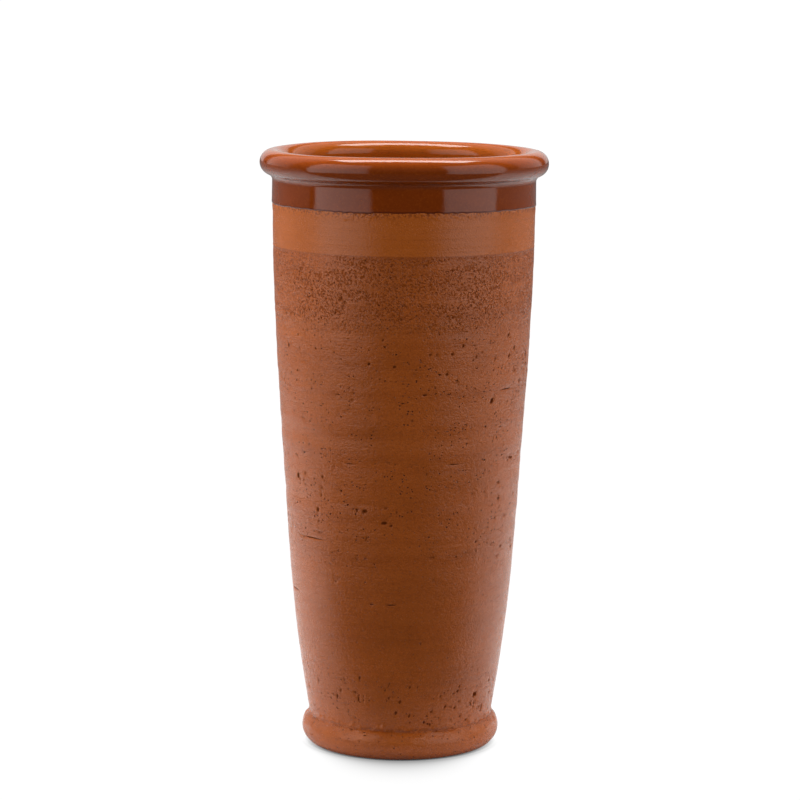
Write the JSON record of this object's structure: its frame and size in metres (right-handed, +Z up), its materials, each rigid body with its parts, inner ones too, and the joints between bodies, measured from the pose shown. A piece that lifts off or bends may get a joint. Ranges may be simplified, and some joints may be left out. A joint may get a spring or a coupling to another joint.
{
  "type": "terracotta pot",
  "caption": "Tall tapered terracotta pot with a rolled rim, a foot bead, a glazed rim band and lining, and bare ribbed clay below.",
  "frame": {"origin": "centre of the ring that the pot stands on, on the ground", "axes": "+Z up along the axis that the pot was turned about, towards the mouth; +X and +Y level, with no preferred direction"},
  "size_m": [0.1448, 0.1448, 0.3],
  "materials": {
    "wall_clay": "bare fired terracotta, turned on the wheel, pitted, with a faint sheen",
    "foot_clay": "bare fired terracotta, smoothed by hand",
    "underside_clay": "bare fired terracotta, matt",
    "amber_glaze": "glossy transparent amber-brown glaze over red clay"
  },
  "bodies": {
    "root": {"base_disc": "underside_clay", "foot_roll": "foot_clay", "wall": "wall_clay", "collar": "wall_clay", "rim_roll": "wall_clay", "rim_glaze": "amber_glaze", "lining_glaze": "amber_glaze"}
  },
  "joints": []
}
